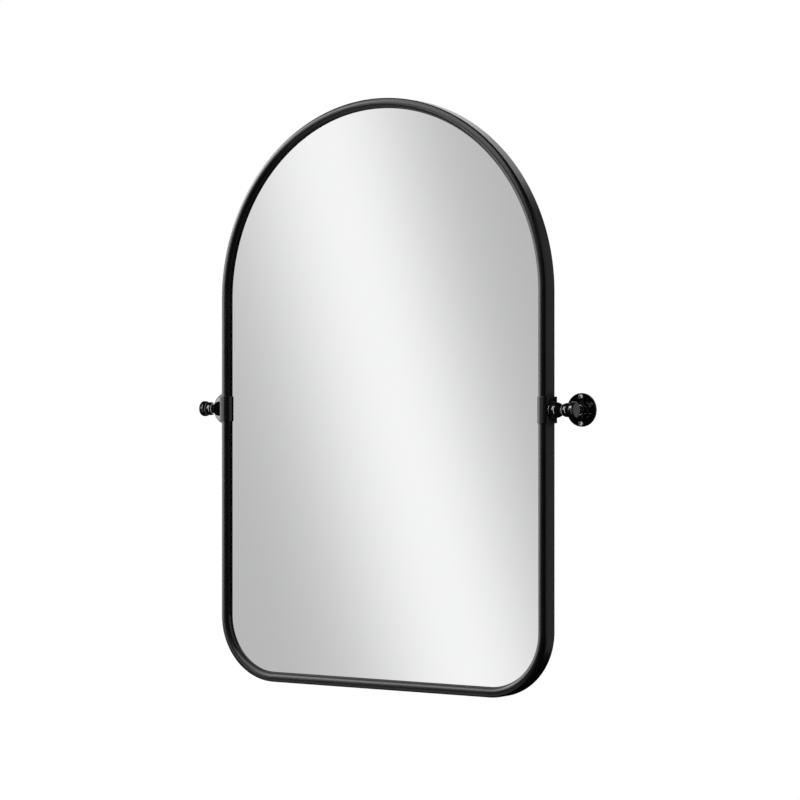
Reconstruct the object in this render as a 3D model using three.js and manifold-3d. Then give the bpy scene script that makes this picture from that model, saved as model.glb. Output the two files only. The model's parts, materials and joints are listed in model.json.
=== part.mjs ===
// Arched pivot wall mirror: a bent tube frame with its glass, tilting between two turned wall brackets.
// Millimetres, +Z up. The wall is the plane Y = 0 and the room is on the -Y side.
// The origin is on the wall, halfway between the two wall plates, at the height of the pivots.

import * as THREE from "three";
import { mergeVertices } from "three/addons/utils/BufferGeometryUtils.js";
import Module from "manifold-3d";

const wasm = await Module();
wasm.setup();

// ---- Driving dimensions, in millimetres ----

// The frame: one bullnose tube, bent round an arch and two lower corners.
const frameWidth = 610;
const frameHeight = 914;
const lowerCornerRadius = 102;
const pivotHeight = 433; // from the frame's lowest edge to the pivots
const tubeWidth = 15;
const tubeDepth = 28;
const tubeWall = 1.2;
const noseRadius = 7;
const rearCornerRadius = 1.5;
const leastHollowRadius = 0.3; // in the rear corners of the tube's hollow

// What the frame holds, from the front to the back.
const glassRecess = 9; // from the nose of the frame to the glass
const glassThickness = 4;
const glassChamfer = 0.5;
const glassClearance = 0.5; // round the glass, to the tube
const foamThickness = 1.5;
const foamMargin = 4;
const boardThickness = 5;
const boardClearance = 1;
const layerGap = 0.25; // the glue line between two flat layers

// The bent tabs that the backboard is screwed to.
const tabThickness = 1.5;
const tabWidth = 20;
const tabReach = 16;
const tabLeg = 6.8;
const tabBendRadius = 1;
const tabHoleFromWall = 9;
const tabScrewShankRadius = 1.75;
const tabScrewBite = 4.3; // how far it goes into the board
const tabScrewHeadRadius = 3.5;
const tabScrewHeadHeight = 2.2;
const tabScrewPoint = 1;
const tabAboveCorner = 61; // the lower side tabs, above the lower corners
const tabBelowArch = 46; // the upper side tabs, below the springing line
const bottomTabOffset = 150;
const archTabAngle = 50; // degrees above the springing line

// The saddle collar round each side of the tube, at the pivots.
const collarHeight = 40;
const collarWall = 1.2;
const collarPad = 3.2; // the thick outer side, which backs the pivot
const collarNoseRadius = 7;
const collarRearRadius = 0.8;

// The pivot line on each side, from the tube outwards.
const studRadius = 3.8;
const studChamfer = 0.76;
const studBore = 4.1; // radius of each hole that the stud goes through
const nutBodyRadius = 5.5;
const nutBulgeRadius = 6.1;
const nutBulgeLength = 2;
const nutFlangeRadius = 6.8;
const nutFlangeHeight = 0.8;
const nutLength = 9.5;
const spacerFlangeRadius = 12.4;
const spacerFlangeHeight = 1.8;
const spacerBallRadius = 11.8;
const spacerBallCentre = 8; // from the spacer's foot
const spacerGrooveRadius = 10.384; // between the foot and the ball
const spacerGrooveWidth = 0.5;
const spacerLipRadius = 7;
const spacerLipLength = 1.8;
const spacerLipHollow = 0.8; // how far the hollow under the lip goes in
const spacerLipHollowStart = 0.3;
const spacerLipHollowEnd = 0.9;
const spacerEdge = 0.4;
const spacerLength = 19.8;
const washerRadius = 9;
const washerThickness = 0.8;
const hubRadius = 10.6;
const hubHalfWidth = 5.5; // between the hub's centre and each flat
const knobRadius = 12.2;
const knobLength = 8.8;
const knobEdgeRadius = 2.6;
const knobBoreDepth = 6.4;
const studEndGap = 0.8; // from the stud's end to the bottom of the knob's hole

// The bracket: a turned post on a round wall plate.
const pivotStandoff = 43; // from the wall to the pivot line
const plateRadius = 25.2;
const plateThickness = 4;
const plateEdgeRadius = 2;
const plateBackEdge = 0.5; // where it meets the wall
const bossRadius = 13.4;
const bossHeight = 4; // above the plate
const bossEdgeRadius = 1.6;
const plateCove = 1.2; // the hollow round the boss
const postNeckRadius = 6;
const postBaseRadius = 8.7;
const postBaseHeight = 3.4;
const postShoulder = 1; // from the base ring in to the start of the waist
const postShoulderHeight = 0.4;
const postWaistRise = 1; // over which the waist turns upright
const postDrillPoint = 1; // the cone at the bottom of the screw's hole
const postScrewRadius = 3;
const postScrewPoint = 1;
const postScrewHeadRadius = 6;
const postScrewHeadHeight = 3;
const postScrewGrip = 12; // how far it goes into the post
const wallScrewSpacing = 39.4;
const wallScrewShankRadius = 2.1;
const wallScrewLength = 25; // under the head
const wallScrewPoint = 5;
const wallScrewHeadRadius = 3.9;
const wallScrewHeadHeight = 2.6;

// The shape of a pan head, on both kinds of screw.
const panRimShare = 0.4; // of the head's height, up to where its side is upright
const panTopShare = 0.65; // of the head's radius, out to where its top is flat

// Clearances.
const fitGap = 0.25; // between two pieces that seat on each other
const holeGap = 0.3; // round a screw or an insert in its hole

// How finely round stretches are divided.
const archSteps = 36;
const cornerSteps = 7;
const noseSteps = 5;
const hollowSteps = 2; // inside the tube
const turnedSteps = 24;
const plateSteps = 32;
const smallTurnedSteps = 12;
const screwSteps = 10;
const edgeSteps = 3;
const smallEdgeSteps = 2;
const postRingSteps = 4;
const waistSteps = 4;
const spacerBallSteps = 6;
const hubSteps = 8;

// ---- Derived places ----

const springHeight = frameHeight - pivotHeight - frameWidth / 2; // where the arch begins
const bottomHeight = -pivotHeight;
const foamFront = glassRecess + glassThickness + layerGap;
const boardFront = foamFront + foamThickness + layerGap;
const tabFront = boardFront + boardThickness + layerGap;
const collarFace = frameWidth / 2 + collarPad;
const spacerStart = collarFace + fitGap;
const innerWasherStart = spacerStart + spacerLength + fitGap;
const hubCentre = innerWasherStart + washerThickness + fitGap + hubHalfWidth;
const outerWasherStart = hubCentre + hubHalfWidth + fitGap;
const knobStart = outerWasherStart + washerThickness + fitGap;
const studEnd = knobStart + knobBoreDepth - studEndGap;
const nutEnd = frameWidth / 2 - tubeWall - nutLength;
const bossTop = plateThickness + bossHeight;
const postFoot = bossTop + fitGap;

// ---- Materials ----

const paint = new THREE.MeshStandardMaterial({ color: 0x121213, roughness: 0.38, metalness: 0.2 });
const blackPlate = new THREE.MeshStandardMaterial({ color: 0x0e0e0f, roughness: 0.2, metalness: 0.7 });
const silver = new THREE.MeshStandardMaterial({ color: 0xe9ecec, roughness: 0.03, metalness: 1 });
const zinc = new THREE.MeshStandardMaterial({ color: 0xb9bcbe, roughness: 0.35, metalness: 1 });
const foam = new THREE.MeshStandardMaterial({ color: 0xe4e4e0, roughness: 0.95, metalness: 0 });
const fibreboard = new THREE.MeshStandardMaterial({ color: 0x1d1b1a, roughness: 0.8, metalness: 0 });

// ---- Solids, cuts and meshes ----

// A closed geometry as a solid for joining and cutting.
function solidOf(geometry) {
  const bare = geometry.clone();
  bare.deleteAttribute("normal");
  bare.deleteAttribute("uv");
  const merged = mergeVertices(bare, 1e-4);
  return new wasm.Manifold(
    new wasm.Mesh({
      numProp: 3,
      vertProperties: merged.attributes.position.array,
      triVerts: new Uint32Array(merged.index.array),
    }),
  );
}

// A solid back as a geometry with flat faces.
function geometryOf(solid) {
  const mesh = solid.getMesh();
  const points = new Float32Array(mesh.numVert * 3);
  for (let i = 0; i < mesh.numVert; i++) {
    const start = i * mesh.numProp;
    points.set(mesh.vertProperties.subarray(start, start + 3), i * 3);
  }
  const geometry = new THREE.BufferGeometry();
  geometry.setAttribute("position", new THREE.BufferAttribute(points, 3));
  geometry.setIndex(new THREE.BufferAttribute(mesh.triVerts, 1));
  geometry.computeVertexNormals();
  return geometry;
}

function cut(geometry, ...tools) {
  const left = tools.reduce((solid, tool) => solid.subtract(solidOf(tool)), solidOf(geometry));
  return geometryOf(left);
}

function piece(name, geometry, material) {
  const mesh = new THREE.Mesh(geometry, material);
  mesh.name = name;
  return mesh;
}

// Points along a circular arc, angles in degrees.
function arc(x, y, radius, from, to, steps) {
  const start = THREE.MathUtils.degToRad(from);
  const end = THREE.MathUtils.degToRad(to);
  return new THREE.EllipseCurve(x, y, radius, radius, start, end, end < start).getPoints(steps);
}

const at = (x, y) => new THREE.Vector2(x, y);

// A profile of [radius, height] points, turned about the Y axis.
function turned(profile, steps = turnedSteps) {
  return new THREE.LatheGeometry(profile, steps);
}

// A rod along X, for drilling pivot holes: side is 1 on the right and -1 on the left.
function rodAlongX(radius, from, to, side, steps = turnedSteps) {
  const rod = new THREE.CylinderGeometry(radius, radius, to - from, steps);
  return rod.rotateZ(Math.PI / 2).translate((side * (from + to)) / 2, 0, 0);
}

// ---- The arched outline and the tube's section ----

// The frame's outline in X and Z, moved inwards by inset. It has as many points at every inset.
function archPoints(inset) {
  const half = frameWidth / 2 - inset;
  const corner = lowerCornerRadius - inset;
  const cornerX = frameWidth / 2 - lowerCornerRadius;
  const cornerZ = bottomHeight + lowerCornerRadius;
  return [
    ...arc(0, springHeight, half, 0, 180, archSteps),
    ...arc(-cornerX, cornerZ, corner, 180, 270, cornerSteps),
    ...arc(cornerX, cornerZ, corner, 270, 360, cornerSteps),
  ];
}

// Depth in the tilting group: 0 is the pivot line, and v runs from the nose of the frame to its back.
const depthAt = (v) => v - tubeDepth / 2;

// The tube's section, moved inwards by wall: u runs from the outer side of the frame, v from its nose.
function tubeSection(wall, steps) {
  const nose = noseRadius - wall;
  const rear = Math.max(rearCornerRadius - wall, leastHollowRadius);
  const left = wall + rear;
  const back = tubeDepth - wall - rear;
  return [
    ...arc(noseRadius, noseRadius, nose, 180, 270, steps),
    ...arc(tubeWidth - noseRadius, noseRadius, nose, 270, 360, steps),
    ...arc(tubeWidth - left, back, rear, 0, 90, smallEdgeSteps),
    ...arc(left, back, rear, 90, 180, smallEdgeSteps),
  ];
}

// A closed surface through the arched outline, one ring for each point of the section.
function sweptRound(section) {
  const rings = section.map((p) => archPoints(p.x).map((q) => [q.x, depthAt(p.y), q.y]));
  const count = rings[0].length;
  const index = [];
  for (let i = 0; i < rings.length; i++) {
    const next = (i + 1) % rings.length;
    for (let j = 0; j < count; j++) {
      const turn = (j + 1) % count;
      const [a, b] = [i * count + j, i * count + turn];
      const [c, d] = [next * count + turn, next * count + j];
      index.push(a, b, c, a, c, d);
    }
  }
  const geometry = new THREE.BufferGeometry();
  geometry.setAttribute("position", new THREE.Float32BufferAttribute(rings.flat(2), 3));
  geometry.setIndex(index);
  return geometry;
}

function frameTube() {
  const holes = [1, -1].map((side) => {
    const middle = frameWidth / 2 - tubeWall / 2;
    return rodAlongX(nutBodyRadius + holeGap, middle - tubeWall, middle + tubeWall, side);
  });
  const outside = sweptRound(tubeSection(0, noseSteps));
  const hollow = sweptRound(tubeSection(tubeWall, hollowSteps));
  return piece("frame_tube", cut(outside, hollow, ...holes), paint);
}

// ---- What the frame holds ----

// A flat sheet with the arched outline; front is its depth behind the nose of the frame.
function sheet(inset, front, thickness) {
  const shape = new THREE.Shape(archPoints(inset));
  const sheetGeometry = new THREE.ExtrudeGeometry(shape, { depth: thickness, bevelEnabled: false });
  return sheetGeometry.rotateX(Math.PI / 2).translate(0, depthAt(front + thickness), 0);
}

function mirrorGlass() {
  const inset = tubeWidth + glassClearance;
  const flat = glassThickness - 2 * glassChamfer;
  const shape = new THREE.Shape(archPoints(inset + glassChamfer));
  const pane = new THREE.ExtrudeGeometry(shape, {
    depth: flat,
    bevelThickness: glassChamfer,
    bevelSize: glassChamfer,
    bevelSegments: 1,
  });
  pane.rotateX(Math.PI / 2).translate(0, depthAt(glassRecess + glassChamfer + flat), 0);
  return piece("mirror_glass", pane, silver);
}

function foamSheet() {
  return piece("foam_sheet", sheet(tubeWidth + foamMargin, foamFront, foamThickness), foam);
}

// Where each tab stands on the tube's inner side: a point there and the turn that faces it inwards.
function tabPlaces() {
  const inner = frameWidth / 2 - tubeWidth - fitGap;
  const places = [];
  for (const z of [bottomHeight + lowerCornerRadius + tabAboveCorner, springHeight - tabBelowArch]) {
    places.push({ x: -inner, z, turn: 0 }, { x: inner, z, turn: Math.PI });
  }
  for (const x of [-bottomTabOffset, bottomTabOffset]) {
    places.push({ x, z: bottomHeight + tubeWidth + fitGap, turn: -Math.PI / 2 });
  }
  const flat = inner * Math.cos(Math.PI / archSteps / 2);
  const archReach = Math.sqrt(flat ** 2 - (tabWidth / 2) ** 2); // the strip's edges meet the arch
  for (const angle of [archTabAngle, 180 - archTabAngle]) {
    const radians = THREE.MathUtils.degToRad(angle);
    const x = archReach * Math.cos(radians);
    const z = springHeight + archReach * Math.sin(radians);
    places.push({ x, z, turn: Math.PI - radians });
  }
  return places;
}

// The point under a tab's hole, for its screw and the board's pilot hole.
function tabHole(place) {
  const x = place.x + tabHoleFromWall * Math.cos(place.turn);
  const z = place.z - tabHoleFromWall * Math.sin(place.turn);
  return { x, z };
}

function backboard() {
  const board = sheet(tubeWidth + boardClearance, boardFront, boardThickness);
  const depth = tabScrewBite + holeGap;
  const pilots = tabPlaces().map((place) => {
    const hole = tabHole(place);
    const radius = tabScrewShankRadius + holeGap;
    const pilot = new THREE.CylinderGeometry(radius, radius, 2 * depth, screwSteps);
    return pilot.translate(hole.x, depthAt(boardFront + boardThickness), hole.z);
  });
  return piece("backboard", cut(board, ...pilots), fibreboard);
}

// A strip bent at a right angle: one leg lies on the tube, the other behind the board.
function boardTab(place, number) {
  const outer = tabBendRadius + tabThickness;
  const section = new THREE.Shape([
    ...arc(outer, outer, outer, 180, 270, edgeSteps),
    at(tabReach, 0),
    at(tabReach, tabThickness),
    ...arc(outer, outer, tabBendRadius, 270, 180, edgeSteps),
    at(tabThickness, tabLeg),
    at(0, tabLeg),
  ]);
  const strip = new THREE.ExtrudeGeometry(section, { depth: tabWidth, bevelEnabled: false });
  strip.translate(0, 0, -tabWidth / 2);
  const radius = tabScrewShankRadius + holeGap;
  const hole = new THREE.CylinderGeometry(radius, radius, 4 * tabThickness, screwSteps);
  hole.translate(tabHoleFromWall, 0, 0);
  const tab = piece(`board_tab_${number}`, cut(strip, hole), zinc);
  tab.position.set(place.x, depthAt(tabFront), place.z);
  tab.rotation.y = place.turn;
  return tab;
}

// A pan-head screw along Y: its head is seated at height 0 and rises to +Y.
function panHeadScrew(shankRadius, headRadius, headHeight, length, point) {
  return turned(
    [
      at(0, -length),
      at(shankRadius, -length + point),
      at(shankRadius, 0),
      at(headRadius, 0),
      at(headRadius, headHeight * panRimShare),
      at(headRadius * panTopShare, headHeight),
      at(0, headHeight),
    ],
    screwSteps,
  );
}

function tabScrew(place, number) {
  const hole = tabHole(place);
  const length = tabScrewBite + layerGap + tabThickness + fitGap;
  const shape = panHeadScrew(
    tabScrewShankRadius,
    tabScrewHeadRadius,
    tabScrewHeadHeight,
    length,
    tabScrewPoint,
  );
  const screw = piece(`tab_screw_${number}`, shape, zinc);
  screw.position.set(hole.x, depthAt(tabFront + tabThickness + fitGap), hole.z);
  return screw;
}

// ---- The collar on each side of the tube ----

// A saddle, open towards the glass: its section in u and v wraps the tube from the glass round to the board.
function collar(side, label) {
  const skin = fitGap + collarWall;
  const noseX = tubeWidth - noseRadius;
  const rearX = tubeWidth - rearCornerRadius;
  const rearY = tubeDepth - rearCornerRadius;
  const padEnd = tubeDepth + skin - collarRearRadius;
  const frontLip = glassRecess - fitGap;
  const rearLip = tabFront;
  const outside = [
    at(tubeWidth + skin, frontLip),
    ...arc(noseX, noseRadius, noseRadius + skin, 0, -90, noseSteps),
    ...arc(collarNoseRadius - collarPad, collarNoseRadius - skin, collarNoseRadius, 270, 180, noseSteps),
    ...arc(collarRearRadius - collarPad, padEnd, collarRearRadius, 180, 90, smallEdgeSteps),
    ...arc(rearX, rearY, rearCornerRadius + skin, 90, 0, edgeSteps),
    at(tubeWidth + skin, rearLip),
  ];
  const inside = [
    at(tubeWidth + fitGap, rearLip),
    ...arc(rearX, rearY, rearCornerRadius + fitGap, 0, 90, edgeSteps),
    ...arc(rearCornerRadius, rearY, rearCornerRadius + fitGap, 90, 180, edgeSteps),
    ...arc(noseRadius, noseRadius, noseRadius + fitGap, 180, 270, noseSteps),
    ...arc(noseX, noseRadius, noseRadius + fitGap, -90, 0, noseSteps),
    at(tubeWidth + fitGap, frontLip),
  ];
  const section = [...outside, ...inside].map((p) => at(side * (frameWidth / 2 - p.x), depthAt(p.y)));
  const block = new THREE.ExtrudeGeometry(new THREE.Shape(section), { depth: collarHeight, bevelEnabled: false });
  block.translate(0, 0, -collarHeight / 2);
  const bore = rodAlongX(studBore, frameWidth / 2, collarFace + collarPad, side);
  const recessEnd = frameWidth / 2 + nutFlangeHeight + holeGap + fitGap;
  const recess = rodAlongX(nutFlangeRadius + holeGap, frameWidth / 2 - fitGap, recessEnd, side);
  return piece(`collar_${label}`, cut(block, bore, recess), paint);
}

// ---- The pivot line: pieces turned about X ----

// Lays a piece turned about Y along the pivot, with its height 0 at start and its top outwards.
function onPivot(mesh, start, side) {
  mesh.rotation.z = (-side * Math.PI) / 2;
  mesh.position.x = side * start;
  return mesh;
}

// A rivet nut set in the tube's outer wall: flange outside, bulge and thread inside.
function rivetNut(side, label) {
  const flangeFoot = nutLength + tubeWall + fitGap;
  const bulgeEnd = nutLength - fitGap;
  const profile = [
    at(studBore, 0),
    at(nutBodyRadius, 0),
    at(nutBodyRadius, bulgeEnd - nutBulgeLength),
    at(nutBulgeRadius, bulgeEnd - nutBulgeLength / 2),
    at(nutBodyRadius, bulgeEnd),
    at(nutBodyRadius, flangeFoot),
    at(nutFlangeRadius, flangeFoot),
    at(nutFlangeRadius, flangeFoot + nutFlangeHeight),
    at(studBore, flangeFoot + nutFlangeHeight),
    at(studBore, 0),
  ];
  return onPivot(piece(`rivet_nut_${label}`, turned(profile, smallTurnedSteps), zinc), nutEnd, side);
}

function pivotStud(side, label) {
  const start = nutEnd + fitGap;
  const length = studEnd - start;
  const profile = [
    at(0, 0),
    at(studRadius - studChamfer, 0),
    at(studRadius, studChamfer),
    at(studRadius, length - studChamfer),
    at(studRadius - studChamfer, length),
    at(0, length),
  ];
  return onPivot(piece(`pivot_stud_${label}`, turned(profile, smallTurnedSteps), zinc), start, side);
}

// The ball that stands the hub off the collar, on a thin round foot, with a lip at its outer end.
function ballSpacer(side, label) {
  const groove = spacerFlangeHeight + spacerGrooveWidth;
  const fromGroove = THREE.MathUtils.radToDeg(Math.asin((groove - spacerBallCentre) / spacerBallRadius));
  const lipStart = spacerLength - spacerLipLength;
  const toLip = THREE.MathUtils.radToDeg(Math.asin((lipStart - spacerBallCentre) / spacerBallRadius));
  const profile = [
    at(studBore, 0),
    at(spacerFlangeRadius - spacerEdge, 0),
    at(spacerFlangeRadius, spacerEdge),
    at(spacerFlangeRadius, spacerFlangeHeight - spacerEdge),
    at(spacerFlangeRadius - spacerEdge, spacerFlangeHeight),
    at(spacerGrooveRadius, spacerFlangeHeight),
    ...arc(0, spacerBallCentre, spacerBallRadius, fromGroove, toLip, spacerBallSteps),
    at(spacerLipRadius - spacerLipHollow, lipStart + spacerLipHollowStart),
    at(spacerLipRadius, lipStart + spacerLipHollowEnd),
    at(spacerLipRadius, spacerLength - spacerEdge),
    at(spacerLipRadius - spacerEdge, spacerLength),
    at(studBore, spacerLength),
    at(studBore, 0),
  ];
  return onPivot(piece(`ball_spacer_${label}`, turned(profile), blackPlate), spacerStart, side);
}

function frictionWasher(name, start, side) {
  const profile = [
    at(studBore, 0),
    at(washerRadius, 0),
    at(washerRadius, washerThickness),
    at(studBore, washerThickness),
    at(studBore, 0),
  ];
  return onPivot(piece(name, turned(profile, smallTurnedSteps), zinc), start, side);
}

// The clamping knob: a thick rounded disc with a blind hole for the stud.
function knob(side, label) {
  const rim = knobRadius - knobEdgeRadius;
  const profile = [
    at(0, knobBoreDepth),
    at(studBore, knobBoreDepth),
    at(studBore, 0),
    ...arc(rim, knobEdgeRadius, knobEdgeRadius, -90, 0, edgeSteps),
    ...arc(rim, knobLength - knobEdgeRadius, knobEdgeRadius, 0, 90, edgeSteps),
    at(0, knobLength),
  ];
  return onPivot(piece(`knob_${label}`, turned(profile), blackPlate), knobStart, side);
}

// ---- The wall brackets: pieces turned about Y ----

// Stands a turned piece on the wall: its height 0 is on the wall and its top is towards the room.
function onWall(mesh, side, height = 0, z = 0) {
  mesh.rotation.x = Math.PI;
  mesh.position.set(side * hubCentre, -height, z);
  return mesh;
}

function wallPlate(side, label) {
  const hole = postScrewRadius + holeGap;
  const sink = postScrewHeadRadius + holeGap;
  const edge = plateRadius - plateEdgeRadius;
  const bossEdge = bossRadius - bossEdgeRadius;
  const profile = [
    at(sink, 0),
    at(plateRadius - plateBackEdge, 0),
    at(plateRadius, plateBackEdge),
    ...arc(edge, plateThickness - plateEdgeRadius, plateEdgeRadius, 0, 90, edgeSteps),
    ...arc(bossRadius + plateCove, plateThickness + plateCove, plateCove, 270, 180, smallEdgeSteps),
    ...arc(bossEdge, bossTop - bossEdgeRadius, bossEdgeRadius, 0, 90, smallEdgeSteps),
    at(hole, bossTop),
    at(hole, postScrewHeadHeight + holeGap),
    at(sink, 0),
  ];
  const screwHoles = [1, -1].map((end) => {
    const radius = wallScrewShankRadius + holeGap;
    const drill = new THREE.CylinderGeometry(radius, radius, 4 * plateThickness, screwSteps);
    return drill.translate(0, 0, (end * wallScrewSpacing) / 2);
  });
  return onWall(piece(`wall_plate_${label}`, cut(turned(profile, plateSteps), ...screwHoles), blackPlate), side);
}

// The post and its hub in one turned piece: base ring, waist and ball, then flats and the stud's hole.
function post(side, label) {
  const length = pivotStandoff - postFoot;
  const ringRadius = postBaseHeight / 2;
  const waistStart = postBaseHeight + postShoulderHeight;
  const ballStart = THREE.MathUtils.radToDeg(Math.asin(postNeckRadius / hubRadius)) - 90;
  const ballFoot = length + hubRadius * Math.sin(THREE.MathUtils.degToRad(ballStart));
  const waist = new THREE.QuadraticBezierCurve(
    at(postBaseRadius - postShoulder, waistStart),
    at(postNeckRadius, waistStart + postWaistRise),
    at(postNeckRadius, (waistStart + ballFoot) / 2),
  );
  const profile = [
    at(0, postScrewGrip + postDrillPoint),
    at(postScrewRadius + fitGap, postScrewGrip),
    at(postScrewRadius + fitGap, 0),
    ...arc(postBaseRadius - ringRadius, ringRadius, ringRadius, -90, 90, postRingSteps),
    ...waist.getPoints(waistSteps),
    ...arc(0, length, hubRadius, ballStart, 90, hubSteps),
  ];
  profile[profile.length - 1].x = 0; // the ball closes on the axis
  const flats = [1, -1].map((end) => {
    const beyond = hubRadius;
    const block = new THREE.BoxGeometry(beyond, 3 * hubRadius, 3 * hubRadius);
    return block.translate(end * (hubHalfWidth + beyond / 2), length, 0);
  });
  const bore = rodAlongX(studBore, -hubRadius, hubRadius, 1).translate(0, length, 0);
  return onWall(piece(`post_${label}`, cut(turned(profile), ...flats, bore), blackPlate), side, postFoot);
}

// A countersunk screw from the back of the plate into the post.
function postScrew(side, label) {
  const length = postFoot + postScrewGrip - holeGap;
  const profile = [
    at(0, fitGap),
    at(postScrewHeadRadius, fitGap),
    at(postScrewRadius, postScrewHeadHeight + fitGap),
    at(postScrewRadius, length - postScrewPoint),
    at(postScrewRadius - postScrewPoint, length),
    at(0, length),
  ];
  return onWall(piece(`post_screw_${label}`, turned(profile, smallTurnedSteps), zinc), side);
}

function wallScrew(side, label, end, endLabel) {
  const shape = panHeadScrew(
    wallScrewShankRadius,
    wallScrewHeadRadius,
    wallScrewHeadHeight,
    wallScrewLength,
    wallScrewPoint,
  );
  const screw = piece(`wall_screw_${label}_${endLabel}`, shape, zinc);
  return onWall(screw, side, plateThickness + fitGap, (end * wallScrewSpacing) / 2);
}

// ---- Assembly ----

const mirror = new THREE.Group(); // tilts about the pivot line
mirror.position.y = -pivotStandoff;
mirror.add(frameTube(), mirrorGlass(), foamSheet(), backboard());
tabPlaces().forEach((place, i) => mirror.add(boardTab(place, i + 1), tabScrew(place, i + 1)));

const brackets = new THREE.Group(); // screwed to the wall

for (const [side, label] of [
  [-1, "left"],
  [1, "right"],
]) {
  mirror.add(collar(side, label), rivetNut(side, label), pivotStud(side, label), ballSpacer(side, label));
  mirror.add(frictionWasher(`inner_washer_${label}`, innerWasherStart, side));
  mirror.add(frictionWasher(`outer_washer_${label}`, outerWasherStart, side));
  mirror.add(knob(side, label));
  brackets.add(wallPlate(side, label), post(side, label), postScrew(side, label));
  brackets.add(wallScrew(side, label, 1, "top"), wallScrew(side, label, -1, "bottom"));
}

const pivotMirror = new THREE.Group();
pivotMirror.add(mirror, brackets);

export default pivotMirror;
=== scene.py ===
import json
import math

import bmesh
import bpy
from mathutils import Matrix, Vector

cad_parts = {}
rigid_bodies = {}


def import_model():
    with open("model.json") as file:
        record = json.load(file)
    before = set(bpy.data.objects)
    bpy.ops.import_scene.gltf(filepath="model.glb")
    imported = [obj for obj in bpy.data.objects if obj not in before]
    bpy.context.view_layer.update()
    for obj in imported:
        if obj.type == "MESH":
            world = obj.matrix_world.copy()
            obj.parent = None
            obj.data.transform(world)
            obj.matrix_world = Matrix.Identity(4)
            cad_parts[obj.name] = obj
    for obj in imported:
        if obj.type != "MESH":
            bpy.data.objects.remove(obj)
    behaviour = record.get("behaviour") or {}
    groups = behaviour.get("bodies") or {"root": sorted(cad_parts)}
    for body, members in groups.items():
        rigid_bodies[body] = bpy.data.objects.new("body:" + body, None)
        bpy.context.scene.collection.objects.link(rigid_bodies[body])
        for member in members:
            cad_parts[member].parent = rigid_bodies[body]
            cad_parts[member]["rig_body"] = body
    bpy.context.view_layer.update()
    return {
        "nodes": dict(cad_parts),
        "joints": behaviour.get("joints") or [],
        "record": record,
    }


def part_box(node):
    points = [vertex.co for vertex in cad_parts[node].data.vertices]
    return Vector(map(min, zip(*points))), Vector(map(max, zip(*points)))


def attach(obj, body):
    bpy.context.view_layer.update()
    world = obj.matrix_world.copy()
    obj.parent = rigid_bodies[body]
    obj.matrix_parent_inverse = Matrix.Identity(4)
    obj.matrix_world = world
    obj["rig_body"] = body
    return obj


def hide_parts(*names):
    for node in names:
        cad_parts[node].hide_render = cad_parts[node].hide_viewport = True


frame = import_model()
scene = bpy.context.scene
nodes = frame["nodes"]
pivot = Vector(frame["joints"][0]["pos_m"])
mm = 0.001
hair = 0.001 * mm  # the smallest distance that counts
print("frame loaded:", len(nodes), "nodes")


def vertsOf(geom):
    return [item for item in geom if isinstance(item, bmesh.types.BMVert)]


def edgesOf(geom):
    return [item for item in geom if isinstance(item, bmesh.types.BMEdge)]


def endsOf(edges):
    return {vert for edge in edges for vert in edge.verts}


# draws a wire in the XZ plane, where x is the distance from the axis and z the height
class Pen:
    def __init__(self, bm, x, z):
        self.bm = bm
        self.first = self.tip = bm.verts.new((x, 0, z))

    def line(self, x, z):
        grown = bmesh.ops.extrude_vert_indiv(self.bm, verts=[self.tip])
        self.tip = grown["verts"][0]
        self.tip.co = (x, 0, z)

    # a line with a short piece at each end, which keeps the shading flat beside a rounded edge
    def flat(self, x, z, margin=0.12 * mm):
        start = self.tip.co.copy()
        step = (Vector((x, 0, z)) - start).normalized() * margin
        self.line(start.x + step.x, start.z + step.z)
        self.line(x - step.x, z - step.z)
        self.line(x, z)

    # turns the tip about (x, z): positive degrees go from up to right
    def arc(self, x, z, degrees, steps):
        angle = math.radians(degrees)
        swept = bmesh.ops.spin(
            self.bm, geom=[self.tip], cent=(x, 0, z), axis=(0, 1, 0), angle=angle, steps=steps
        )
        self.tip = vertsOf(swept["geom_last"])[0]

    def close(self):
        self.bm.edges.new((self.tip, self.first))


def mergePoints(bm, near=2 * hair):
    bmesh.ops.remove_doubles(bm, verts=bm.verts[:], dist=near)


def weld(bm):
    mergePoints(bm)
    bmesh.ops.recalc_face_normals(bm, faces=bm.faces[:])


# turns the wire once round the Z axis
def turnRound(bm, steps=72):
    mergePoints(bm, hair)
    bmesh.ops.spin(
        bm,
        geom=bm.verts[:] + bm.edges[:],
        cent=(0, 0, 0),
        axis=(0, 0, 1),
        angle=math.tau,
        steps=steps,
        use_merge=True,
    )


# rounds every edge that bends by more than the given angle
def softenEdges(bm, width, angle=50, segments=2):
    bm.normal_update()
    bend = math.radians(angle)
    hard = [edge for edge in bm.edges if edge.is_manifold and edge.calc_face_angle() > bend]
    bmesh.ops.bevel(
        bm,
        geom=hard,
        offset=width,
        offset_type="OFFSET",
        affect="EDGES",
        segments=segments,
        profile=0.5,
        material=-1,
        clamp_overlap=True,
    )


def newObject(bm, name, material):
    mesh = bpy.data.meshes.new(name)
    bm.to_mesh(mesh)
    bm.free()
    mesh.materials.append(material)
    made = bpy.data.objects.new(name, mesh)
    scene.collection.objects.link(made)
    return made


# makes the bmesh an object that rides on the body of the nodes it stands for
def finishPiece(bm, name, material, standsFor, sharpAngle=32):
    piece = newObject(bm, name, material)
    piece.data.shade_smooth()
    piece.data.set_sharp_from_angle(angle=math.radians(sharpAngle))
    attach(piece, nodes[standsFor[0]]["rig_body"])
    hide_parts(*standsFor)
    return piece


# puts a wire or a plain value into a socket
def plug(tree, port, value):
    if isinstance(value, Wire):
        tree.links.new(value.socket, port)
    else:
        port.default_value = value


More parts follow.
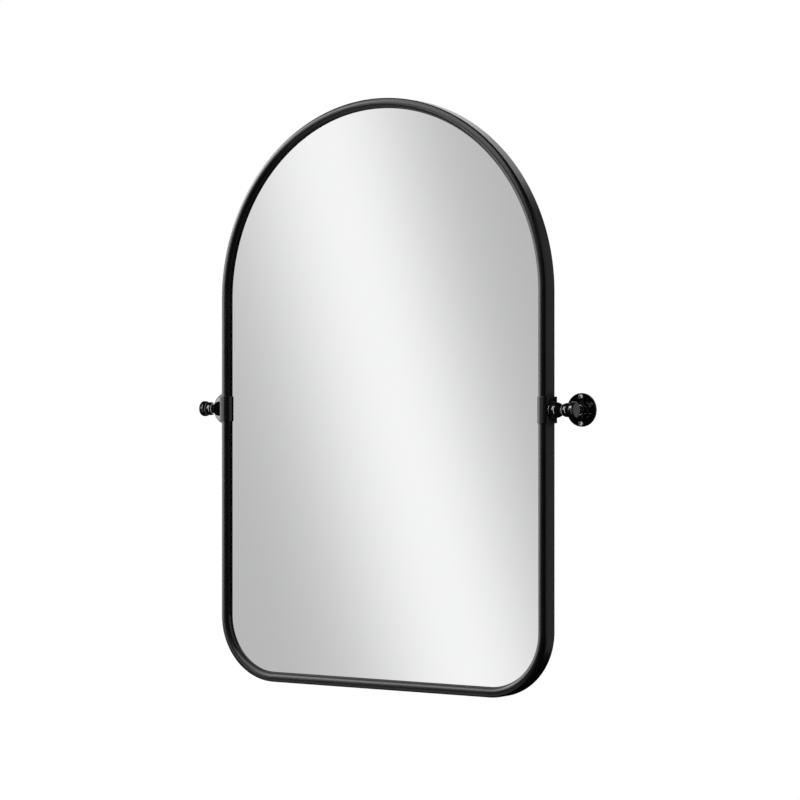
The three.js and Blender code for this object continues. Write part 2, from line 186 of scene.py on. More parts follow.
# a socket that can be used in an expression, which then adds its Math nodes
class Wire:
    def __init__(self, tree, socket):
        self.tree = tree
        self.socket = socket

    def maths(self, operation, *values):
        node = self.tree.nodes.new("ShaderNodeMath")
        node.operation = operation
        for port, value in zip(node.inputs, values):
            plug(self.tree, port, value)
        return Wire(self.tree, node.outputs[0])

    def __add__(self, other):
        return self.maths("ADD", self, other)

    def __radd__(self, other):
        return self.maths("ADD", other, self)

    def __sub__(self, other):
        return self.maths("SUBTRACT", self, other)

    def __rsub__(self, other):
        return self.maths("SUBTRACT", other, self)

    def __mul__(self, other):
        return self.maths("MULTIPLY", self, other)

    def __rmul__(self, other):
        return self.maths("MULTIPLY", other, self)

    def __truediv__(self, other):
        return self.maths("DIVIDE", self, other)

    def __rtruediv__(self, other):
        return self.maths("DIVIDE", other, self)

    def __pow__(self, other):
        return self.maths("POWER", self, other)

    def __rpow__(self, other):
        return self.maths("POWER", other, self)

    def atLeast(self, other):
        return self.maths("MAXIMUM", self, other)

    def atMost(self, other):
        return self.maths("MINIMUM", self, other)

    # a noise between 0 and 1, made to vary by this amount about zero
    def vary(self, amount):
        return (self - 0.5) * amount


class Shader:
    def __init__(self, tree):
        self.tree = tree
        tree.nodes.clear()

    # settings are set first; sockets are given by name or by number
    def add(self, kind, settings=None, sockets=None):
        node = self.tree.nodes.new("ShaderNode" + kind)
        for key, value in (settings or {}).items():
            setattr(node, key, value)
        for key, value in (sockets or {}).items():
            plug(self.tree, node.inputs[key], value)
        return node

    def wire(self, node, output=0):
        return Wire(self.tree, node.outputs[output])

    def objectPlace(self):
        return self.wire(self.add("TexCoord"), "Object")

    def coords(self, scale=(1, 1, 1)):
        return self.wire(self.add("Mapping", sockets={"Vector": self.objectPlace(), "Scale": scale}))

    # x, y and z on the object, as three wires
    def axes(self):
        split = self.add("SeparateXYZ", sockets={"Vector": self.objectPlace()})
        return [self.wire(split, index) for index in range(3)]

    def noise(self, vector, scale, detail=2.0, roughness=0.5):
        values = {"Vector": vector, "Scale": scale, "Detail": detail, "Roughness": roughness}
        return self.wire(self.add("TexNoise", sockets=values), "Fac")

    # in a Mix node of colours, sockets 6 and 7 take the colours and output 2 gives the mix
    def blend(self, factor, first, second):
        mix = self.add("Mix", {"data_type": "RGBA"}, {0: factor, 6: first, 7: second})
        return self.wire(mix, 2)

    def bump(self, height, distance, strength=1.0):
        values = {"Height": height, "Distance": distance, "Strength": strength}
        return self.wire(self.add("Bump", sockets=values))

    def output(self, node):
        self.add("OutputMaterial", sockets={"Surface": self.wire(node)})


def newMaterial(name):
    material = bpy.data.materials.new(name)
    material.use_nodes = True
    return material, Shader(material.node_tree)


def surface(shader, **sockets):
    named = {key.replace("_", " "): value for key, value in sockets.items()}
    shader.output(shader.add("BsdfPrincipled", sockets=named))


def grey(value, warmth=0.0):
    return (value * (1 + warmth), value, value * (1 - warmth), 1)


# the finishes: a name such as clouds or grain gives the scale of that noise
framePaintLook = {
    "dark": 0.0012,
    "light": 0.0028,
    "warmth": 0.02,
    "clouds": 14,
    "cloudRoughness": 0.10,
    "grain": 1400,
    "grainRoughness": 0.06,
    "grainHeight": 0.008 * mm,
    "grainStrength": 0.6,
}


def makeFramePaint(name, roughness, shine):
    look = framePaintLook
    material, shader = newMaterial(name)
    place = shader.coords()
    clouds = shader.noise(place, look["clouds"], detail=3)
    grain = shader.noise(place, look["grain"])
    surface(
        shader,
        Base_Color=shader.blend(clouds, grey(look["dark"]), grey(look["light"], look["warmth"])),
        Roughness=roughness + clouds.vary(look["cloudRoughness"]) + grain.vary(look["grainRoughness"]),
        Specular_IOR_Level=shine,
        Normal=shader.bump(grain, look["grainHeight"], look["grainStrength"]),
    )
    return material


platingLook = {
    "dark": 0.0020,
    "light": 0.0025,
    "warmth": 0.01,
    "shine": 0.6,
    "roughness": 0.11,
    "clouds": 60,
    "cloudRoughness": 0.05,
    "lines": 900,
    "lineHeight": 0.001 * mm,
    "lineStrength": 0.4,
}


def makeBlackPlating():
    look = platingLook
    material, shader = newMaterial("glossBlackPlating")
    place = shader.coords()
    clouds = shader.noise(place, look["clouds"], detail=3)
    lines = shader.noise(place, look["lines"], detail=1)
    surface(
        shader,
        Base_Color=shader.blend(clouds, grey(look["dark"]), grey(look["light"], look["warmth"])),
        Roughness=look["roughness"] + clouds.vary(look["cloudRoughness"]),
        Specular_IOR_Level=look["shine"],
        Normal=shader.bump(lines, look["lineHeight"], look["lineStrength"]),
    )
    return material


silverLook = {
    "dark": (0.955, 0.962, 0.96, 1),
    "light": (0.965, 0.97, 0.968, 1),
    "haze": 3,
    "roughness": 0.004,
    "hazeRoughness": 0.006,
}


def makeSilver():
    look = silverLook
    material, shader = newMaterial("silveredGlass")
    haze = shader.noise(shader.coords(), look["haze"])
    surface(
        shader,
        Base_Color=shader.blend(haze, look["dark"], look["light"]),
        Metallic=1.0,
        Roughness=look["roughness"] + haze * look["hazeRoughness"],
    )
    return material


glassEdgeLook = {
    "dark": (0.21, 0.25, 0.24, 1),
    "light": (0.30, 0.34, 0.33, 1),
    "clouds": 90,
    "roughness": 0.3,
    "cloudRoughness": 0.1,
}


def makeGlassEdge():
    look = glassEdgeLook
    material, shader = newMaterial("polishedGlassEdge")
    clouds = shader.noise(shader.coords(), look["clouds"])
    surface(
        shader,
        Base_Color=shader.blend(clouds, look["dark"], look["light"]),
        Roughness=look["roughness"] + clouds * look["cloudRoughness"],
    )
    return material


zincLook = {
    "dark": (0.52, 0.53, 0.545, 1),
    "light": (0.74, 0.745, 0.75, 1),
    "roughness": 0.30,
    "patches": 260,
    "patchRoughness": 0.2,
    "scuffs": 700,
    "scuffStretch": (1, 1, 14),
    "scuffRoughness": 0.12,
    "scuffHeight": 0.01 * mm,
    "scuffStrength": 0.5,
}


def makeZinc():
    look = zincLook
    material, shader = newMaterial("brightZinc")
    patches = shader.noise(shader.coords(), look["patches"], detail=4, roughness=0.6)
    scuffs = shader.noise(shader.coords(look["scuffStretch"]), look["scuffs"])
    worn = look["roughness"] + patches.vary(look["patchRoughness"]) + scuffs.vary(look["scuffRoughness"])
    surface(
        shader,
        Base_Color=shader.blend(patches, look["dark"], look["light"]),
        Metallic=1.0,
        Roughness=worn,
        Normal=shader.bump(scuffs, look["scuffHeight"], look["scuffStrength"]),
    )
    return material


fibreboardLook = {
    "dark": (0.018, 0.015, 0.012, 1),
    "light": (0.075, 0.060, 0.047, 1),
    "shine": 0.35,
    "roughness": 0.72,
    "fibres": 420,
    "fibreStretch": (1, 1, 7),
    "fibreShare": 0.6,
    "strays": 380,
    "strayStretch": (6, 1, 1),
    "strayShare": 0.4,
    "flecks": 1100,
    "fleckRoughness": 0.2,
    "fleckRise": 0.4,
    "height": 0.06 * mm,
    "strength": 0.7,
}


def makeFibreboard():
    look = fibreboardLook
    material, shader = newMaterial("darkFibreboard")
    fibres = shader.noise(shader.coords(look["fibreStretch"]), look["fibres"], detail=5, roughness=0.65)
    strays = shader.noise(shader.coords(look["strayStretch"]), look["strays"], detail=4, roughness=0.6)
    flecks = shader.noise(shader.coords(), look["flecks"])
    weave = fibres * look["fibreShare"] + strays * look["strayShare"]
    surface(
        shader,
        Base_Color=shader.blend(weave, look["dark"], look["light"]),
        Roughness=look["roughness"] + flecks.vary(look["fleckRoughness"]),
        Specular_IOR_Level=look["shine"],
        Normal=shader.bump(weave + flecks * look["fleckRise"], look["height"], look["strength"]),
    )
    return material


foamLook = {
    "dark": (0.70, 0.70, 0.67, 1),
    "light": (0.84, 0.84, 0.82, 1),
    "roughness": 0.9,
    "cells": 900,
    "cellHeight": 0.1 * mm,
}


def makeFoam():
    look = foamLook
    material, shader = newMaterial("whiteFoam")
    cells = shader.noise(shader.coords(), look["cells"], detail=3)
    surface(
        shader,
        Base_Color=shader.blend(cells, look["dark"], look["light"]),
        Roughness=look["roughness"],
        Normal=shader.bump(cells, look["cellHeight"]),
    )
    return material


framePaint = makeFramePaint("satinBlackPaint", roughness=0.30, shine=0.4)
# a duller, less shiny copy of the frame paint for the inner side: painted shade that keeps the glass's
# reflection off it and the inner side dark
shadedInnerPaint = makeFramePaint("dullBlackPaint", roughness=0.55, shine=0.08)
blackPlating = makeBlackPlating()
silver = makeSilver()
glassEdge = makeGlassEdge()
zinc = makeZinc()
fibreboard = makeFibreboard()
foam = makeFoam()
finishes = {
    "frame_paint": framePaint,
    "black_plating": blackPlating,
    "mirror_silver": silver,
    "zinc_steel": zinc,
    "foam": foam,
    "fibreboard": fibreboard,
}
for entry in frame["record"]["subparts"]:
    mesh = nodes[entry["node"]].data
    mesh.materials.clear()
    mesh.materials.append(finishes[entry["material_slot"]])
print("finishes made")


# the bent tube
frameLook = {
    "cornerRadius": 102 * mm,
    "tubeWidth": 15 * mm,
    "noseRadius": 7 * mm,
    "rearRadius": 1.5 * mm,
    "archSteps": 128,
    "cornerSteps": 28,
    "shadedReach": 0.4 * mm,  # the depth of the inner side that has the duller copy of the paint, a painted shade
}
frameLow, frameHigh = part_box("frame_tube")
halfWidth = frameHigh.x
springHeight = frameHigh.z - halfWidth
cornerX = halfWidth - frameLook["cornerRadius"]
cornerZ = frameLow.z + frameLook["cornerRadius"]
tubeInner = halfWidth - frameLook["tubeWidth"]
tubeDepth = frameHigh.y - frameLow.y


# carries a point or a section once round: over the arch, down, round the foot and up again
def carryRound(bm, geom):
    def swing(x, z, degrees, steps, moved):
        angle = math.radians(degrees)
        made = bmesh.ops.spin(bm, geom=moved, cent=(x, 0, z), axis=(0, -1, 0), angle=angle, steps=steps)
        return made["geom_last"]

    def push(x, z, moved):
        made = bmesh.ops.spin(
            bm, geom=moved, cent=(0, 0, 0), axis=(0, 1, 0), dvec=(x, 0, z), angle=0, steps=1
        )
        return made["geom_last"]

    geom = swing(0, springHeight, 180, frameLook["archSteps"], geom)
    geom = push(0, cornerZ - springHeight, geom)
    geom = swing(-cornerX, cornerZ, 90, frameLook["cornerSteps"], geom)
    geom = push(2 * cornerX, 0, geom)
    geom = swing(cornerX, cornerZ, 90, frameLook["cornerSteps"], geom)
    push(0, springHeight - cornerZ, geom)


# how far a point lies inside the outer outline
def depthInside(point):
    x, z = abs(point.x), point.z
    if z > springHeight:
        return halfWidth - math.hypot(x, z - springHeight)
    if z < cornerZ and x > cornerX:
        return frameLook["cornerRadius"] - math.hypot(x - cornerX, z - cornerZ)
    return min(halfWidth - x, z - frameLow.z)


# lays a drawn section level at a height, with what was up turned to the wall
def layLevel(bm, height):
    bm.transform(Matrix.Translation((0, frameLow.y, height)) @ Matrix.Rotation(-math.pi / 2, 4, "X"))


def makeFrameTube():
    nose, rear = frameLook["noseRadius"], frameLook["rearRadius"]
    bm = bmesh.new()
    pen = Pen(bm, halfWidth, nose)
    pen.arc(halfWidth - nose, nose, 90, steps=12)
    pen.flat(tubeInner + nose, 0)
    pen.arc(tubeInner + nose, nose, 90, steps=12)
    pen.flat(tubeInner, tubeDepth - rear)
    pen.arc(tubeInner + rear, tubeDepth - rear, 90, steps=5)
    pen.flat(halfWidth - rear, tubeDepth)
    pen.arc(halfWidth - rear, tubeDepth - rear, 90, steps=5)
    pen.flat(halfWidth, nose)
    layLevel(bm, springHeight)
    carryRound(bm, bm.verts[:] + bm.edges[:])
    weld(bm)
    piece = finishPiece(bm, "frameTube", framePaint, ["frame_tube"])
    piece.data.materials.append(shadedInnerPaint)
    # faces deep on the inner side get the shaded copy of the paint, a painted shade
    for face in piece.data.polygons:
        deep = depthInside(face.center) > frameLook["tubeWidth"] - frameLook["shadedReach"]
        if deep and face.center.z > cornerZ:
            face.material_index = 1


# a flat sheet of the arched outline, as thick as its node; it is as wide too, unless a gap between
# it and the tube's inner side is given
def archedSheet(node, chamfer, gap=None):
    low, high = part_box(node)
    reach = high.x if gap is None else tubeInner - gap
    bm = bmesh.new()
    start = bm.verts.new((reach, low.y, springHeight))
    carryRound(bm, [start])
    mergePoints(bm)
    bmesh.ops.contextual_create(bm, geom=bm.edges[:])
    grown = bmesh.ops.extrude_face_region(bm, geom=bm.faces[:])
    bmesh.ops.translate(bm, verts=vertsOf(grown["geom"]), vec=(0, high.y - low.y, 0))
    bmesh.ops.recalc_face_normals(bm, faces=bm.faces[:])
    softenEdges(bm, chamfer, segments=1)
    return bm


glassLook = {
    "chamfer": 0.8 * mm,
    "gap": 0.1 * mm,
    "silverTurn": -0.99,  # a face is bare edge where its normal's y is over this
}


def makeGlass():
    bm = archedSheet("mirror_glass", glassLook["chamfer"], glassLook["gap"])
    piece = finishPiece(bm, "mirrorGlass", silver, ["mirror_glass"])
    piece.data.materials.append(glassEdge)
    for face in piece.data.polygons:
        if face.normal.y > glassLook["silverTurn"]:
            face.material_index = 1


boardLook = {"chamfer": 0.4 * mm}


def makeBackboard():
    bm = archedSheet("backboard", boardLook["chamfer"])
    finishPiece(bm, "backboard", fibreboard, ["backboard"])


makeFrameTube()
makeGlass()
makeBackboard()
print("frame, glass and board made")


tabLook = {"count": 8, "edge": 0.18 * mm, "flatAngle": 1, "sharpAngle": 40}


# a bent tab keeps the shape of its node, with its edges broken
def makeTab(number):
    look = tabLook
    node = f"board_tab_{number}"
    bm = bmesh.new()
    bm.from_mesh(nodes[node].data)
    mergePoints(bm)
    flatAngle = math.radians(look["flatAngle"])
    bmesh.ops.dissolve_limit(bm, angle_limit=flatAngle, verts=bm.verts[:], edges=bm.edges[:])
    softenEdges(bm, look["edge"])
    finishPiece(bm, f"boardTab{number}", zinc, [node], look["sharpAngle"])


# stands a piece on its node's axis: its head points along direction, and start is where along it
# the seat is
def placed(node, direction, start):
    low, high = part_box(node)
    centre = (low + high) / 2
    axis = Vector(direction)
    turn = Vector((0, 0, 1)).rotation_difference(axis).to_matrix().to_4x4()
    return Matrix.Translation(centre - axis * centre.dot(axis) + axis * start) @ turn


# carries an open ring on to another radius and height
def growRing(bm, edges, radius, height):
    grown = bmesh.ops.extrude_edge_only(bm, edges=edges)["geom"]
    ring = [edge for edge in edgesOf(grown) if edge.is_boundary]
    for vert in endsOf(ring):
        spoke = Vector((vert.co.x, vert.co.y, 0)).normalized() * radius
        vert.co = (spoke.x, spoke.y, height)
    return ring


recessLook = {"floorShare": 0.55, "steps": 24}


# a screw with a cross recess; its rings run from the recess over the head and down to the point
def crossScrew(recess, depth, rings):
    innerRadius, top = rings[0]
    bm = bmesh.new()
    bmesh.ops.create_grid(bm, x_segments=3, y_segments=3, size=recess)
    middles = {face: face.calc_center_median() for face in bm.faces}
    corners = [face for face, middle in middles.items() if min(abs(middle.x), abs(middle.y)) > recess / 2]
    bmesh.ops.delete(bm, geom=corners, context="FACES")
    bmesh.ops.translate(bm, verts=bm.verts[:], vec=(0, 0, top))
    lowered = vertsOf(bmesh.ops.extrude_face_region(bm, geom=bm.faces[:])["geom"])
    share = recessLook["floorShare"]
    bmesh.ops.translate(bm, verts=lowered, vec=(0, 0, -depth))
    bmesh.ops.scale(bm, verts=lowered, vec=(share, share, 1), space=Matrix.Identity(4))
    covers = [face for face in bm.faces if abs(face.calc_center_median().z - top) < hair]
    bmesh.ops.delete(bm, geom=covers, context="FACES_KEEP_BOUNDARY")
    shadedRecessFaces = set(bm.faces)
    recessEdges = set(bm.edges)
    mouth = [edge for edge in bm.edges if edge.is_boundary]
    seat = Matrix.Translation((0, 0, top))
    bmesh.ops.create_circle(
        bm, segments=recessLook["steps"], radius=innerRadius, matrix=seat, cap_ends=False
    )
    ring = [edge for edge in bm.edges if edge not in recessEdges]
    bmesh.ops.bridge_loops(bm, edges=mouth + ring)
    for radius, height in rings[1:]:
        ring = growRing(bm, ring, radius, height)
    bmesh.ops.pointmerge(bm, verts=list(endsOf(ring)), merge_co=(0, 0, rings[-1][1]))
    weld(bm)
    # the recess faces are painted near-black, a painted shade where light doesn't reach
    for face in bm.faces:
        face.material_index = 1 if face in shadedRecessFaces else 0
    return bm


# the faces of the recess get the black plating as a second material: painted shade standing in for the
# shade deep inside the recess
def finishScrew(bm, name, node):
    piece = finishPiece(bm, name, zinc, [node], sharpAngle=35)
    piece.data.materials.append(blackPlating)


panHeadLook = {
    "dome": ((0.56, 1), (0.78, 0.86), (0.93, 0.58), (1, 0.22), (1, 0)),  # shares of radius and height
    "recess": 0.42,
    "recessDepth": 0.8,
    "tip": 0.05 * mm,
}
tabScrewLook = {
    "head": 3.5 * mm,
    "height": 2.2 * mm,
    "shank": 1.75 * mm,
    "length": 6.3 * mm,
    "point": 1 * mm,
}
wallScrewLook = {
    "head": 3.9 * mm,
    "height": 2.6 * mm,
    "shank": 2.1 * mm,
    "length": 25 * mm,
    "point": 5 * mm,
}


def makePanScrew(node, name, direction, start, look):
    head, height, shank, length = (look[key] for key in ("head", "height", "shank", "length"))
    rings = [(head * across, height * up) for across, up in panHeadLook["dome"]]
    rings += [(shank, 0), (shank, -length + look["point"]), (panHeadLook["tip"], -length)]
    bm = crossScrew(head * panHeadLook["recess"], height * panHeadLook["recessDepth"], rings)
    bm.transform(placed(node, direction, start))
    finishScrew(bm, name, node)


for number in range(1, tabLook["count"] + 1):
    makeTab(number)
    node = f"tab_screw_{number}"
    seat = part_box(node)[1].y - tabScrewLook["height"]
    makePanScrew(node, f"tabScrew{number}", (0, 1, 0), seat, tabScrewLook)
for side in ("left", "right"):
    for end in ("top", "bottom"):
        node = f"wall_screw_{side}_{end}"
        seat = -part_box(node)[0].y - wallScrewLook["height"]
        makePanScrew(node, f"wallScrew{side.title()}{end.title()}", (0, -1, 0), seat, wallScrewLook)
print("tabs and screws made")


collarLook = {
    "wall": 1.2 * mm,
    "loose": 0.25 * mm,
    "noseRadius": 7 * mm,
    "rearRadius": 0.8 * mm,
    "edge": 0.25 * mm,
    "endBand": 0.75 * mm,  # a strip at each end, which keeps the shading flat between them
}


# a saddle over the tube: its section is drawn for the right side and mirrored for the left
def makeCollar(side, sign):
    look = collarLook
    low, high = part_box(f"collar_{side}")
    tubeNose, tubeRear = frameLook["noseRadius"], frameLook["rearRadius"]
    nose, rear, loose = look["noseRadius"], look["rearRadius"], look["loose"]
    skin = loose + look["wall"]
    face = max(abs(low.x), abs(high.x))
    front, back = low.y - frameLow.y, high.y - frameLow.y
    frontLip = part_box("mirror_glass")[0].y - frameLow.y - loose
    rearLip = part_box("board_tab_1")[0].y - frameLow.y
    bm = bmesh.new()
    pen = Pen(bm, tubeInner - skin, frontLip)
    pen.line(tubeInner - skin, tubeNose)
    pen.arc(tubeInner + tubeNose, tubeNose, -90, steps=10)
    pen.flat(face - nose, front)
    pen.arc(face - nose, front + nose, -90, steps=10)
    pen.flat(face, back - rear)
    pen.arc(face - rear, back - rear, -90, steps=4)
    pen.flat(tubeInner + tubeRear, back)
    pen.arc(tubeInner + tubeRear, tubeDepth - tubeRear, -90, steps=5)
    pen.line(tubeInner - skin, rearLip)
    pen.line(tubeInner - loose, rearLip)
    pen.line(tubeInner - loose, tubeDepth - tubeRear)
    pen.arc(tubeInner + tubeRear, tubeDepth - tubeRear, 90, steps=5)
    pen.line(halfWidth - tubeRear, tubeDepth + loose)
    pen.arc(halfWidth - tubeRear, tubeDepth - tubeRear, 90, steps=5)
    pen.line(halfWidth + loose, tubeNose)
    pen.arc(halfWidth - tubeNose, tubeNose, 90, steps=10)
    pen.line(tubeInner + tubeNose, -loose)
    pen.arc(tubeInner + tubeNose, tubeNose, 90, steps=10)
    pen.line(tubeInner - loose, frontLip)
    pen.close()
    mergePoints(bm)
    bmesh.ops.contextual_create(bm, geom=bm.edges[:])
    layLevel(bm, low.z)
    cap = bm.verts[:] + bm.edges[:] + bm.faces[:]
    for rise in (look["endBand"], high.z - low.z - 2 * look["endBand"], look["endBand"]):
        cap = bmesh.ops.extrude_face_region(bm, geom=cap)["geom"]
        bmesh.ops.translate(bm, verts=vertsOf(cap), vec=(0, 0, rise))
    bmesh.ops.scale(bm, verts=bm.verts[:], vec=(sign, 1, 1), space=Matrix.Identity(4))
    weld(bm)
    softenEdges(bm, look["edge"], angle=60)
    finishPiece(bm, f"collar{side.title()}", framePaint, [f"collar_{side}"])


# the turned pieces on the pivot line
stackLook = {"stud": 4.1 * mm, "edge": 0.5 * mm}
spacerLook = {
    "flange": 12.4 * mm,
    "flangeHeight": 1.8 * mm,
    "flangeEdge": 0.6 * mm,
    "groove": 0.5 * mm,
    "grooveDepth": 1.2 * mm,
    "ball": 11.8 * mm,
    "ballCentre": 8 * mm,
    "lip": 7 * mm,
    "lipHeight": 1.5 * mm,
}
washerLook = {"edge": 0.2 * mm}
knobLook = {"edge": 2.6 * mm, "bore": 6.4 * mm}


# turns the wire, lays it on the pivot line with its foot at the inner end, and finishes it
def finishTurned(bm, node, name, sign, material):
    turnRound(bm)
    weld(bm)
    low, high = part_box(node)
    inner = min(abs(low.x), abs(high.x))
    lay = Matrix.Rotation(sign * math.pi / 2, 4, "Y")
    bm.transform(Matrix.Translation((sign * inner, pivot.y, pivot.z)) @ lay)
    finishPiece(bm, name, material, [node])


def makeSpacer(side, sign):
    look = spacerLook
    node = f"ball_spacer_{side}"
    low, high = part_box(node)
    length, edge = high.x - low.x, stackLook["edge"]
    flange, flangeEdge, flangeTop = look["flange"], look["flangeEdge"], look["flangeHeight"]
    grooveTop = flangeTop + look["groove"]
    lipStart = length - look["lipHeight"]
    foot = math.asin((look["ballCentre"] - grooveTop) / look["ball"])
    neck = math.asin((lipStart - look["ballCentre"]) / look["ball"])
    footRadius = look["ball"] * math.cos(foot)
    bm = bmesh.new()
    pen = Pen(bm, stackLook["stud"], 0)
    pen.flat(flange - edge, 0)
    pen.arc(flange - edge, edge, -90, steps=5)
    pen.line(flange, flangeTop - flangeEdge)
    pen.arc(flange - flangeEdge, flangeTop - flangeEdge, -90, steps=5)
    pen.line(footRadius - look["grooveDepth"], flangeTop)
    pen.line(footRadius - look["grooveDepth"], grooveTop)
    pen.line(footRadius, grooveTop)
    pen.arc(0, look["ballCentre"], -math.degrees(foot + neck), steps=24)
    pen.line(look["lip"] - edge, lipStart)
    pen.arc(look["lip"] - edge, lipStart + edge, -90, steps=4)
    pen.line(look["lip"], length - edge)
    pen.arc(look["lip"] - edge, length - edge, -90, steps=4)
    pen.flat(stackLook["stud"], length)
    pen.close()
    finishTurned(bm, node, f"ballSpacer{side.title()}", sign, blackPlating)


def makeWasher(side, sign, which):
    node = f"{which}_washer_{side}"
    low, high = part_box(node)
    radius, thickness, edge = high.z - pivot.z, high.x - low.x, washerLook["edge"]
    bm = bmesh.new()
    pen = Pen(bm, stackLook["stud"], 0)
    pen.line(radius - edge, 0)
    pen.arc(radius - edge, edge, -90, steps=3)
    pen.line(radius, thickness - edge)
    pen.arc(radius - edge, thickness - edge, -90, steps=3)
    pen.line(stackLook["stud"], thickness)
    pen.close()
    finishTurned(bm, node, f"{which}Washer{side.title()}", sign, zinc)


def makeKnob(side, sign):
    node = f"knob_{side}"
    low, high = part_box(node)
    radius, length, edge = high.z - pivot.z, high.x - low.x, knobLook["edge"]
    bm = bmesh.new()
    pen = Pen(bm, 0, knobLook["bore"])
    pen.line(stackLook["stud"], knobLook["bore"])
    pen.line(stackLook["stud"], 0)
    pen.flat(radius - edge, 0)
    pen.arc(radius - edge, edge, -90, steps=10)
    pen.flat(radius, length - edge)
    pen.arc(radius - edge, length - edge, -90, steps=10)
    pen.flat(0, length)
    finishTurned(bm, node, f"knob{side.title()}", sign, blackPlating)


for side, sign in (("left", -1), ("right", 1)):
    makeCollar(side, sign)
    makeSpacer(side, sign)
    makeWasher(side, sign, "inner")
    makeWasher(side, sign, "outer")
    makeKnob(side, sign)
print("pivot pieces made")


# stands a turned piece on the wall side: its foot at the node's back and its top towards the room
def standOut(bm, node, name):
    low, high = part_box(node)
    centre = (low.x + high.x) / 2
    bm.transform(Matrix.Translation((centre, high.y, 0)) @ Matrix.Rotation(math.pi / 2, 4, "X"))
    finishPiece(bm, name, blackPlating, [node])


plateLook = {
    "backEdge": 0.5 * mm,
    "rim": 4 * mm,
    "rimEdge": 2 * mm,
    "boss": 13.4 * mm,
    "bossEdge": 1.6 * mm,
    "cove": 1.2 * mm,
    "hole": 3.3 * mm,
    "sink": 6.3 * mm,
    "sinkDepth": 3.3 * mm,
    "steps": 96,
}


def makePlate(side):
    look = plateLook
    node = f"wall_plate_{side}"
    low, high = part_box(node)
    radius, top = (high.z - low.z) / 2, high.y - low.y
    rim, rimEdge, backEdge = look["rim"], look["rimEdge"], look["backEdge"]
    boss, bossEdge, cove = look["boss"], look["bossEdge"], look["cove"]
    bm = bmesh.new()
    pen = Pen(bm, look["sink"], 0)
    pen.flat(radius - backEdge, 0)
    pen.arc(radius - backEdge, backEdge, -90, steps=4)
    pen.flat(radius, rim - rimEdge)
    pen.arc(radius - rimEdge, rim - rimEdge, -90, steps=10)
    pen.flat(boss + cove, rim)
    pen.arc(boss + cove, rim + cove, 90, steps=8)
    pen.flat(boss, top - bossEdge)
    pen.arc(boss - bossEdge, top - bossEdge, -90, steps=8)
    pen.flat(look["hole"], top)
    pen.line(look["hole"], look["sinkDepth"])
    pen.close()
    turnRound(bm, look["steps"])
    weld(bm)
    standOut(bm, node, f"wallPlate{side.title()}")


postLook = {
    "base": 8.7 * mm,
    "ring": 1.7 * mm,  # the radius of the bead round the base
    "ringStep": 0.4 * mm,
    "neck": 6 * mm,
    "cove": 2.4 * mm,
    "hub": 10.6 * mm,
    "hubHalf": 5.5 * mm,
    "hubEdge": 0.25 * mm,
    "screwHole": 3.25 * mm,
    "screwDepth": 12 * mm,
    "steps": 96,
}


# cuts one side of the ball flat, closes it down to the stud's hole and gives back the hole's edges
def cutHub(bm, hubHeight, end):
    hub, half = postLook["hub"], postLook["hubHalf"]
    ball = [face for face in bm.faces if face.calc_center_median().z > hubHeight - hub]
    verts = {vert for face in ball for vert in face.verts}
    edges = {edge for face in ball for edge in face.edges}
    cut = bmesh.ops.bisect_plane(
        bm,
        geom=list(verts) + list(edges) + ball,
        dist=hair,
        plane_co=(end * half, 0, 0),
        plane_no=(end, 0, 0),
        clear_outer=True,
    )
    grown = bmesh.ops.extrude_edge_only(bm, edges=edgesOf(cut["geom_cut"]))["geom"]
    shrink = stackLook["stud"] / math.sqrt(hub**2 - half**2)
    hubCentre = Matrix.Translation((0, 0, -hubHeight))
    bmesh.ops.scale(bm, verts=vertsOf(grown), vec=(1, shrink, shrink), space=hubCentre)
    return [edge for edge in edgesOf(grown) if edge.is_boundary]


def makePost(side):
    look = postLook
    node = f"post_{side}"
    hub, neck, base, ring, cove = (look[key] for key in ("hub", "neck", "base", "ring", "cove"))
    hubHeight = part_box(node)[1].y - pivot.y
    coveFoot = 2 * ring + look["ringStep"]
    ballFoot = math.asin(neck / hub)
    bm = bmesh.new()
    pen = Pen(bm, 0, look["screwDepth"])
    pen.line(look["screwHole"], look["screwDepth"])
    pen.line(look["screwHole"], 0)
    pen.line(base - ring, 0)
    pen.arc(base - ring, ring, -180, steps=16)
    pen.line(neck + cove, coveFoot)
    pen.arc(neck + cove, coveFoot + cove, 90, steps=12)
    pen.flat(neck, hubHeight - hub * math.cos(ballFoot))
    pen.arc(0, hubHeight, math.degrees(ballFoot) - 180, steps=36)
    turnRound(bm, look["steps"])
    weld(bm)
    bmesh.ops.bridge_loops(bm, edges=cutHub(bm, hubHeight, 1) + cutHub(bm, hubHeight, -1))
    weld(bm)
    softenEdges(bm, look["hubEdge"])
    standOut(bm, node, f"post{side.title()}")


postScrewLook = {
    "shank": 3 * mm,
    "headHeight": 3 * mm,
    "rimShare": 0.6,
    "recess": 0.45,
    "recessDepth": 2 * mm,
    "point": 1 * mm,
    "tip": 0.5 * mm,
}


def makePostScrew(side):
    look = postScrewLook
    node = f"post_screw_{side}"
    low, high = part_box(node)
    head, length, shank = (high.z - low.z) / 2, high.y - low.y, look["shank"]
    rings = [(head * look["rimShare"], 0), (head, 0), (shank, -look["headHeight"])]
    rings += [(shank, -length + look["point"]), (look["tip"], -length)]
    bm = crossScrew(head * look["recess"], look["recessDepth"], rings)
    bm.transform(placed(node, (0, 1, 0), high.y))
    finishScrew(bm, f"postScrew{side.title()}", node)


for side in ("left", "right"):
    makePlate(side)
    makePost(side)
    makePostScrew(side)
print("wall brackets made")


# light linking: which pieces a light or a lit card reaches
def groupOf(name, wanted):
    group = bpy.data.collections.new(name)
    for piece in scene.objects:
        if piece.type == "MESH" and not piece.hide_render and wanted(piece.name):
            group.objects.link(piece)
    return group


airLook = {"brightness": 0.85}  # for the pieces; the camera and the reflections see 1


